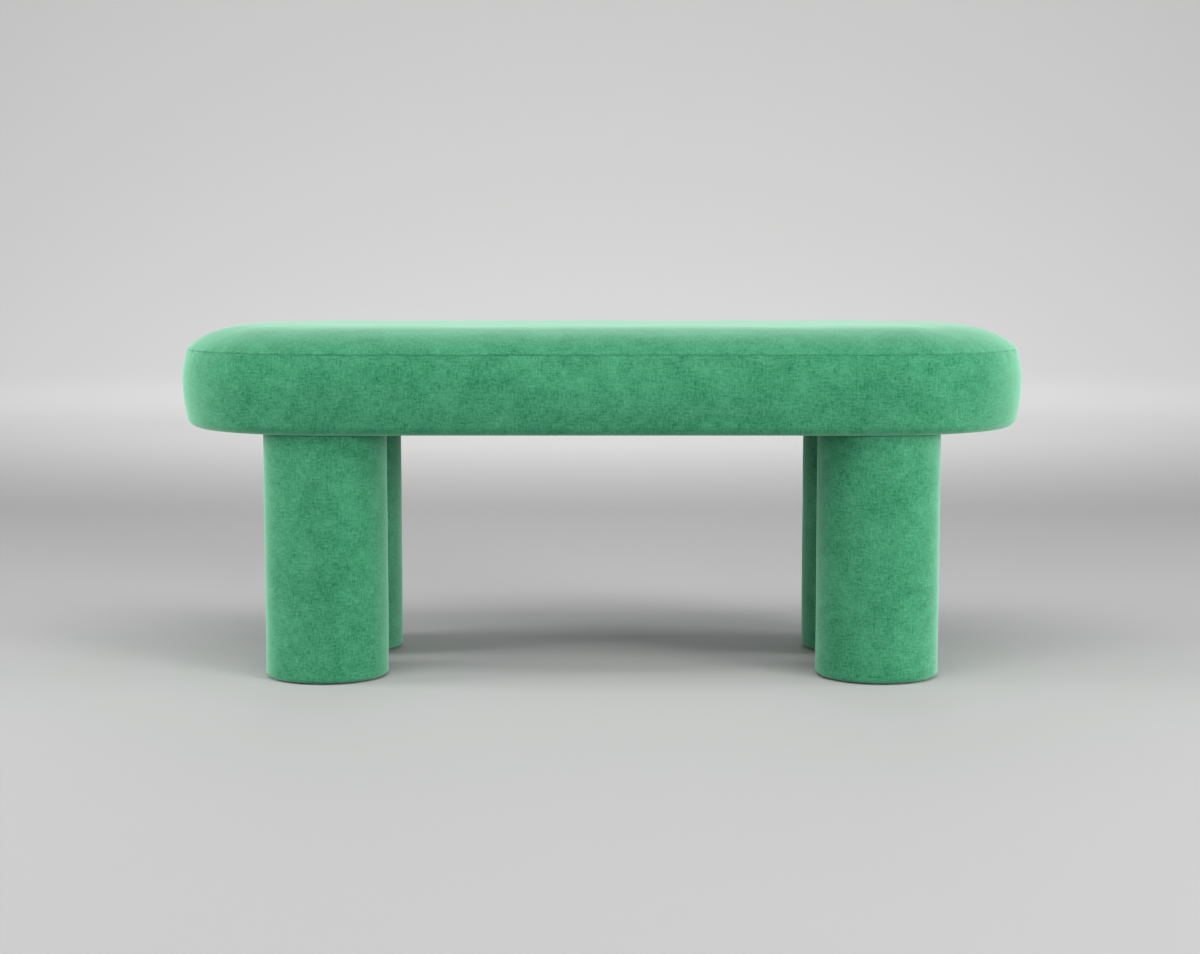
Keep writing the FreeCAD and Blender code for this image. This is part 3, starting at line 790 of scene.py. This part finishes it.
def makeTopCover():
    # Crown from the middle line to the seam and rounded into it, carried round the seat. The cloth
    # lies on it as its plan, with the length along the crown as the reach.
    r, reach, level = cover["seamRound"], seat["seamReach"], seat["seam"] + cover["seamGap"]
    crown = crownProfile(0.0)
    crown = crown[crown[:, 1] > level + r]
    turn = arcPoints((reach - r, level + r), r, 0, -90, 6)
    tail = np.array([[reach - r - cover["turnedIn"], level]])
    body = resample(np.vstack([crown, turn[:1]]), cover["step"])
    profile = np.vstack([body[:-1], turn, tail])
    seamLength = lengthAlong(profile)[len(body) + 1]
    push, pull = coverPush(seatRound, profile, 11, seamLength)
    push[0] = push[0].mean()
    # nothing that differs from column to column at the middle line
    fade = smoothStep(profile[:, :1], *cover["evenMiddle"])
    push[len(body) + 2:] = 0
    points = sweep(seatRound, profile, push * fade, pull)
    settling = settled(points, int(np.argmax(profile[:, 0] > settle["topFrom"])), len(body))
    points += settling * smoothStep(profile[:, :1], *settle["topFade"])[..., None]
    reachAlong = lengthAlong(profile)
    nextSpine = np.r_[seatRound["spine"], seatRound["spine"][0]]
    nextX, nextY = (np.r_[seatRound[k], seatRound[k][0]] for k in ("x", "y"))
    uv = np.stack([nextSpine[None, :] + reachAlong[:, None] * nextX[None, :],
                   reachAlong[:, None] * nextY[None, :]], -1)
    return gridMesh("seatTopCover", points, uv)


def makeBandCover():
    # From the seam down the side, round the edge and under the frame, carried round the seat; the
    # part underneath is raised by the size of summed waves as pleats round the ends.
    r, reach, level = cover["seamRound"], seat["seamReach"], seat["seam"] - cover["seamGap"]
    head = np.array([[reach - r - cover["turnedIn"], level]])
    turn = arcPoints((reach - r, level - r), r, 90, 0, 6)
    side = sideProfile(0.0, level - r, seat["bottom"] + seat["rounding"])
    under = undersideArc(0.0)
    flat = np.array([[under[-1, 0] - cover["turnUnder"], seat["bottom"]]])
    body = resample(np.vstack([side, under[1:], flat]), cover["step"])
    profile = np.vstack([head, turn, body[1:]])
    down = lengthAlong(profile)
    push, pull = coverPush(seatRound, profile, 21, down[4])
    push[:4] = 0
    flatStart = down[-1] - cover["turnUnder"]
    evenFrom, evenTo = cover["evenEdge"]
    push = push * (1 - smoothStep(down[:, None], flatStart - evenFrom, flatStart - evenTo))
    onFlat = smoothStep(down[:, None], flatStart + cover["pleatStart"], down[-1])
    atEnds = np.abs(seatRound["y"]) < 0.999
    pleats = np.abs(waves(seatRound["along"][None, :], 0, 31, *cover["pleatWaves"],
                          seatRound["total"], 8))
    push = push + cover["pleat"] * onFlat * pleats * atEnds[None, :]
    points = sweep(seatRound, profile, push, pull)
    points += settled(points, settle["bandFrom"], int(np.argmax(down > flatStart)) + 1)
    points[..., 2] = np.maximum(points[..., 2], seat["bottom"] - cover["pleat"])
    along = np.r_[seatRound["along"], seatRound["total"]]
    uv = np.stack(np.broadcast_arrays(along[None, :], -down[:, None]), -1)
    return gridMesh("seatBandCover", points, uv)


seatTopCover = thicken(makeTopCover(), cover["cloth"])
seatBandCover = thicken(makeBandCover(), cover["cloth"])
finishPiece(seatTopCover, seatVelvet, "green_velvet", "seat_top_cover")
finishPiece(seatBandCover, seatVelvet, "green_velvet", "seat_band_cover")
print("seat covers made")


# seam thread

stitch = {
    "length": 0.0036,
    "radius": 0.00030,
    "depth": 0.0014,        # below the seam's mouth
    "dip": 0.0003,
    "perStitch": 6,         # points along each stitch
    "sides": 6,
}


def makeSeamThread():
    # A thread along the bottom of the seam whose reach follows a cosine, one wave each stitch.
    perimeter = outlineLength(seat["seamReach"])
    count = int(round(perimeter / stitch["length"])) * stitch["perStitch"]
    share = 2 * seat["spineHalf"] / perimeter
    runCount = int(round(count * share / 2)) * 2
    endCount = (count - 2 * runCount) // 2
    path = seatPath(runCount, endCount, seat["seamReach"])
    turns = np.round(path["total"] / stitch["length"])
    wave = np.cos(2 * np.pi * turns * path["along"] / path["total"])
    around = np.linspace(0, 2 * np.pi, stitch["sides"], endpoint=False)
    centre = seat["seamReach"] - stitch["depth"] + stitch["dip"] * 0.5 * wave
    reach = centre[None, :] + stitch["radius"] * np.cos(around)[:, None]
    height = seat["seam"] - stitch["radius"] * np.sin(around)[:, None] + 0 * reach
    points = np.stack([path["spine"] + reach * path["x"], reach * path["y"], height], -1)
    along = np.r_[path["along"], path["total"]]
    down = np.r_[around, 2 * np.pi] * stitch["radius"]
    uv = np.stack(np.broadcast_arrays(along[None, :], down[:, None]), -1)
    return gridMesh("seamThread", points, uv, wrapDown=True)


seamThread = makeSeamThread()
finishPiece(seamThread, sewingThread, "green_velvet")


# legs

leg = {
    "edgeRound": 0.005,
    "topRound": 0.003,
    "turnIn": 0.0235,       # over both ends of the tube
    "columns": 150,
    "step": 0.0048,
    "seamDepth": 0.0011,    # groove of the closing seam
    "seamWidth": 0.0012,
    "crowding": 0.8,        # of the columns at the seam, below 1
    "welt": 0.0005,         # low swell each side of it
    "weltFrom": 0.004,
    "weltWidth": 0.002,
    "easeEnd": 0.010,       # the wall is even this near its ends
    "uneven": 0.00012,
    "unevenWaves": (0.09, 0.35),
    "pleat": 0.0007,        # gathers under the leg
    "pleats": 40,
    "pleatRun": 0.018,
    "pleatWobble": 6,
    "clothShift": 0.37,     # so that no two sleeves are cut from the same place
}


def legFrame(name):
    # A leg's axis, radius and levels, from the box of its sleeve.
    low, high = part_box(f"leg_{name}_sleeve")
    return {"x": (low.x + high.x) / 2, "y": (low.y + high.y) / 2, "radius": (high.x - low.x) / 2,
            "bottom": low.z, "top": high.z}


def seamAngles(facing, count):
    # Even steps round the leg less a sine wave, so they lie closer together at the closing seam.
    share = np.linspace(0, 1, count, endpoint=False)
    return facing + 2 * np.pi * share - leg["crowding"] * np.sin(2 * np.pi * share)


def makeLegSleeve(name, seed):
    # Top turning, wall and base turning with rounded edges between them, turned round the leg and
    # pushed along the normal: summed waves, a bell-shaped groove at the closing seam with a bell
    # each side, and below the leg the upper halves of a cosine as gathers.
    place = legFrame(name)
    facing = math.pi / 2 if name.startswith("front") else -math.pi / 2
    radius = place["radius"]
    edge, upper = leg["edgeRound"], leg["topRound"]
    low = arcPoints((radius - edge, place["bottom"] + edge), edge, 0, -90, 9)
    high = arcPoints((radius - upper, place["top"] - upper), upper, 90, 0, 6)
    wall = resample(np.vstack([high[-1:], low[:1]]), leg["step"])
    inner = radius - leg["turnIn"]
    capTop = np.linspace(inner, high[0, 0], 6)[:-1]
    capLow = np.linspace(low[-1, 0], inner, 8)[1:]
    profile = np.vstack([
        np.c_[capTop, np.full(len(capTop), place["top"])], high, wall[1:-1], low,
        np.c_[capLow, np.full(len(capLow), place["bottom"])],
    ])
    angle = seamAngles(facing, leg["columns"])
    fromSeam = (np.mod(angle - facing + np.pi, 2 * np.pi) - np.pi) * radius
    down = lengthAlong(profile)
    onWall = smoothStep(profile[:, 1], place["bottom"], place["bottom"] + leg["easeEnd"])
    onWall = onWall * smoothStep(-profile[:, 1], -place["top"], -place["top"] + leg["easeEnd"])
    groove = -leg["seamDepth"] * np.exp(-(fromSeam / leg["seamWidth"]) ** 2)
    beside = leg["welt"] * np.exp(-((np.abs(fromSeam) - leg["weltFrom"]) / leg["weltWidth"]) ** 2)
    slow = waves((angle - facing) * radius, down[:, None], seed, *leg["unevenWaves"],
                 2 * np.pi * radius)
    push = onWall[:, None] * (leg["uneven"] * slow + groove + beside)
    underneath = (profile[:, 0] < radius - edge) & (profile[:, 1] < place["bottom"] + 0.001)
    inward = np.clip((radius - edge - profile[:, 0]) / leg["pleatRun"], 0, 1) * underneath
    wobble = leg["pleatWobble"] * np.sin(2 * (angle - facing) + seed)
    pleats = np.clip(np.cos(leg["pleats"] * angle + wobble), 0, 1) ** 2
    push = push + leg["pleat"] * inward[:, None] * pleats[None, :]
    points = turned(place, *pushed(profile, push), angle)
    turn = np.r_[angle - facing, 2 * np.pi] * radius + seed * leg["clothShift"]
    uv = np.stack(np.broadcast_arrays(turn[None, :], -down[:, None]), -1)
    return gridMesh(pieceName("legSleeve", name), points, uv)


def roundedBox(low, high, radius, step):
    # A closed outline in the (reach, height) plane: four quarter circles joined by straight runs.
    (x0, z0), (x1, z1) = low, high
    corners = [((x1 - radius, z1 - radius), 90, 0), ((x1 - radius, z0 + radius), 0, -90),
               ((x0 + radius, z0 + radius), -90, -180), ((x0 + radius, z1 - radius), 180, 90)]
    ring = np.vstack([arcPoints(c, radius, a, b, 4) for c, a, b in corners])
    ring = np.vstack([ring, ring[:1]])
    return resample(ring, step)[:-1]


for number, name in enumerate(legNames):
    sleeve = thicken(makeLegSleeve(name, 40 + number), cover["cloth"])
    finishPiece(sleeve, legVelvet, "green_velvet", f"leg_{name}_sleeve")
print("leg sleeves made")

legPad = {
    "clear": 0.0004,        # of the tube and of both ends
    "clearOut": 0.0006,     # of the sleeve
    "corner": 0.0018,
    "step": 0.006,
    "columns": 110,
    "bulge": 0.0004,        # height of its unevenness
    "bulgeWaves": (0.03, 0.1),
    "shrink": 0.0002,
}


def makeLegPadding(name):
    # A rounded box between tube and sleeve, turned round the leg; summed waves push its outer side.
    tubeLow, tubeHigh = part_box(f"leg_{name}_tube")
    low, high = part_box(f"leg_{name}_padding")
    clear, outer = legPad["clear"], (high.x - low.x) / 2
    inner = (tubeHigh.x - tubeLow.x) / 2 + clear
    outline = roundedBox((inner, low.z + clear), (outer - legPad["clearOut"], high.z - clear),
                         legPad["corner"], legPad["step"])
    angle = np.linspace(0, 2 * np.pi, legPad["columns"], endpoint=False)
    bulge = legPad["bulge"] * waves(angle * outer, lengthAlong(outline)[:, None], 7,
                                    *legPad["bulgeWaves"], 2 * np.pi * outer)
    outward = (outline[:, 0] > inner + 0.002)[:, None]
    reach = outline[:, :1] + bulge * outward - legPad["shrink"]
    points = turned(legFrame(name), reach, outline[:, 1:], angle)
    return gridMesh(pieceName("legPadding", name), points, wrapDown=True)


baseCloth = {"rings": 24, "columns": 96, "lift": 0.0003, "sag": 0.0003, "ripples": 8, "cloth": 0.0006}


def makeBaseCloth(name):
    # A disc that sags by half a sine wave from its middle to its edge, rippled by a cosine round it.
    low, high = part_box(f"leg_{name}_base_cover")
    radius = (high.x - low.x) / 2
    reach = np.linspace(0, radius, baseCloth["rings"])
    angle = np.linspace(0, 2 * np.pi, baseCloth["columns"], endpoint=False)
    ripple = 1 + 0.5 * np.cos(baseCloth["ripples"] * angle)
    sag = baseCloth["sag"] * np.sin(np.pi * reach / radius)[:, None] * ripple[None, :]
    height = (low.z + high.z) / 2 + baseCloth["lift"] - sag
    points = turned(legFrame(name), reach[:, None], height, angle)
    return gridMesh(pieceName("legBaseCloth", name), points, flip=True)


for name in legNames:
    pad = makeLegPadding(name)
    finishPiece(pad, waddingWhite, "wadding", f"leg_{name}_padding")
    cloth = thicken(makeBaseCloth(name), baseCloth["cloth"], 0.0)
    finishPiece(cloth, dustCloth, "dust_cloth", f"leg_{name}_base_cover")
print("leg padding and base cloths made")


# seat padding

padding = {
    "columns": 90,
    "endColumns": 70,
    "step": 0.008,
    "clear": 0.0004,        # of the pieces round each foam
    "seamIn": 0.0030,       # foam inside the seam
    "lean": (0.003, 0.004),  # bevel at the foot of the slab
    "waddingOut": 0.0003,   # outer and inner face below the wadding's own top
    "waddingIn": 0.0047,
    "stripIn": 0.0026,      # side foams inside the cover
    "stripFromDeck": 0.0005,
    "stripColumns": 60,
    "stripTrim": 0.0003,    # off each end
}
padRound = seatPath(padding["columns"], padding["endColumns"], seat["seamReach"])


def makeSeatFoam():
    # The crown a layer down, a side that leans in, a bevel and a flat underside.
    low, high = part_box("seat_foam")
    clear, (leanIn, leanUp) = padding["clear"], padding["lean"]
    edge = sideReach(low.z) - seat["halfDepth"] + high.y - clear
    crown = crownProfile(seat["top"] - high.z + clear)
    side = np.array([[seat["seamReach"] - padding["seamIn"], seat["seam"] - clear],
                     [edge, low.z + leanUp], [edge - leanIn, low.z + clear], [0, low.z + clear]])
    profile = resample(np.vstack([crown, side]), padding["step"])
    return gridMesh("seatFoam", sweep(padRound, profile))


def makeWadding():
    # The crown at two depths, out along one and back along the other, cut off level at the seam.
    below = seat["top"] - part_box("seat_wadding")[1].z
    outer = crownProfile(below + padding["waddingOut"])
    inner = crownProfile(below + padding["waddingIn"])
    level = seat["seam"] + padding["waddingOut"]
    inner[:, 1] = np.maximum(inner[:, 1], level)
    profile = np.vstack([resample(outer, padding["step"]), resample(inner[::-1], padding["step"])])
    profile[:, 1] = np.maximum(profile[:, 1], level)
    return gridMesh("seatWadding", sweep(padRound, profile))


def makeSideFoam(name, start, end, halfTurn=False):
    # One strip of the foam band, from one distance along the outline to another, capped at both
    # ends. A half turn about the upright axis takes the front's strip to the rear.
    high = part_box("side_foam_front")[1]
    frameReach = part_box("seat_deck")[1].y + padding["stripFromDeck"]
    layer, upper = padding["stripIn"], high.z - padding["clear"]
    side = sideProfile(layer, upper, seat["bottom"] + seat["rounding"], 14)
    under = undersideArc(layer, 6)[1:]
    inside = np.array([[frameReach, under[-1, 1]], [frameReach, upper]])
    full = seatPath(120, 90, seat["halfDepth"])
    at = np.linspace(start, end, padding["stripColumns"])
    heading = np.interp(at, full["along"], full["heading"])
    path = {"spine": np.interp(at, full["along"], full["spine"]),
            "x": np.cos(heading), "y": np.sin(heading)}
    points = sweep(path, np.vstack([side, under, inside])) * ([-1, -1, 1] if halfTurn else 1)
    return gridMesh(name, points, wrapAcross=False, wrapDown=True, caps=True)


seatFoam = makeSeatFoam()
finishPiece(seatFoam, foamYellow, "upholstery_foam", "seat_foam")
seatWadding = makeWadding()
finishPiece(seatWadding, waddingWhite, "wadding", "seat_wadding")
halfRun, endRun, trim = seat["spineHalf"], np.pi * seat["halfDepth"], padding["stripTrim"]
stripEnds = {
    "left": (halfRun + trim, halfRun + endRun - trim),
    "front": (halfRun + endRun + trim, 3 * halfRun + endRun - trim),
    "right": (3 * halfRun + endRun + trim, 3 * halfRun + 2 * endRun - trim),
}
for side in ("left", "front", "right", "rear"):
    start, end = stripEnds.get(side, stripEnds["front"])
    strip = makeSideFoam("sideFoam" + side.capitalize(), start, end, halfTurn=side == "rear")
    finishPiece(strip, foamYellow, "upholstery_foam", f"side_foam_{side}")
print("seat padding made")


# dust cover

dust = {"cloth": 0.0005, "lift": 0.0004, "rings": 24}


def makeDustCover():
    # A flat cloth: level points from the middle line to the edge, carried round the seat.
    low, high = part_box("dust_cover")
    reach = np.r_[0, np.linspace(0.01, high.y, dust["rings"])]
    profile = np.c_[reach, np.full(len(reach), low.z + dust["lift"])]
    return gridMesh("dustCover", sweep(padRound, profile), flip=True)


dustCover = thicken(makeDustCover(), dust["cloth"], 0.0)
finishPiece(dustCover, dustCloth, "dust_cloth", "dust_cover")


for name in legNames:
    place = legFrame(name)


# floor, light and camera

stage = {"flat": 7.0, "rise": 6.0, "shade": (0.42, 0.42, 0.417)}


def makeFloor():
    # A round pale floor: a straight line and a quarter circle turned round the middle.
    flat = np.linspace(0, stage["flat"], 12)
    curve = arcPoints((stage["flat"], stage["rise"]), stage["rise"], -90, 0, 24)[1:]
    profile = np.vstack([np.c_[flat, 0 * flat], curve])
    angle = np.linspace(0, 2 * np.pi, 128, endpoint=False)
    floor = gridMesh("floor", turned({"x": 0, "y": 0}, profile[:, :1], profile[:, 1:], angle))
    material, tree, shader = newMaterial("paleFloor")
    place = node(tree, "ShaderNodeTexCoord").outputs["Object"]
    mask = noise(tree, place, 3.0, 4.0)
    shade = stage["shade"]
    colour = blendColour(tree, mask, tuple(c * 0.99 for c in shade), shade)
    tree.links.new(colour, shader.inputs["Base Color"])
    shader.inputs["Roughness"].default_value = 0.8
    floor.data.materials.append(material)


def aimedArea(name, place, target, width, depth, power):
    # A soft rectangular lamp, turned towards its target.
    light = bpy.data.lights.new(name, "AREA")
    light.shape = "RECTANGLE"
    light.size, light.size_y = width, depth
    light.energy = power
    lamp = bpy.data.objects.new(name, light)
    lamp.location = place
    direction = Vector(target) - Vector(place)
    lamp.rotation_euler = direction.to_track_quat("-Z", "Y").to_euler()
    bpy.context.scene.collection.objects.link(lamp)


view = {
    "distance": 3.3092,     # in front of the bench's middle
    "height": 0.6134,
    "down": 6.030,          # degrees
    "lens": 69.03,
    "sensor": 36.0,
    "shiftX": -0.0017,
    "shiftY": 0.0017,
    "farthest": 60.0,
}


def makeCamera():
    data = bpy.data.cameras.new("camera")
    data.sensor_width = view["sensor"]
    data.lens = view["lens"]
    data.shift_x, data.shift_y = view["shiftX"], view["shiftY"]
    data.clip_end = view["farthest"]
    camera = bpy.data.objects.new("camera", data)
    camera.location = (0, -view["distance"], view["height"])
    camera.rotation_euler = (math.radians(90 - view["down"]), 0, 0)
    bpy.context.scene.collection.objects.link(camera)
    bpy.context.scene.camera = camera


lamps = {  # place, target, width, depth and watts
    "overhead": ((0.0, -1.6, 3.1), (0, 0, 0.4), 3.4, 1.4, 75),
    "frontLeft": ((-3.4, -3.2, 1.1), (0, 0, 0.3), 1.6, 1.6, 34),
    "frontRight": ((3.4, -3.2, 1.1), (0, 0, 0.3), 1.6, 1.6, 144),
    "left": ((-3.6, -0.4, 1.2), (0, 0, 0.3), 1.4, 1.8, 98),
    "right": ((3.6, -0.4, 1.2), (0, 0, 0.3), 1.4, 1.8, 64),
    "behind": ((0.0, 3.8, 1.6), (0, 0, 0.3), 2.4, 1.6, 20),
    "backdrop": ((0.0, 4.0, 5.0), (0, 11.0, 2.0), 6.0, 2.0, 750),
}
sky = {"colour": (0.97, 0.98, 1.0, 1), "strength": 0.30}

makeFloor()
makeCamera()
world = bpy.data.worlds.new("studio")
bpy.context.scene.world = world
world.use_nodes = True
world.node_tree.nodes["Background"].inputs["Color"].default_value = sky["colour"]
world.node_tree.nodes["Background"].inputs["Strength"].default_value = sky["strength"]
for name, (place, target, width, depth, power) in lamps.items():
    aimedArea(name, place, target, width, depth, power)
bpy.context.scene.view_settings.view_transform = "Standard"
print("stage made")
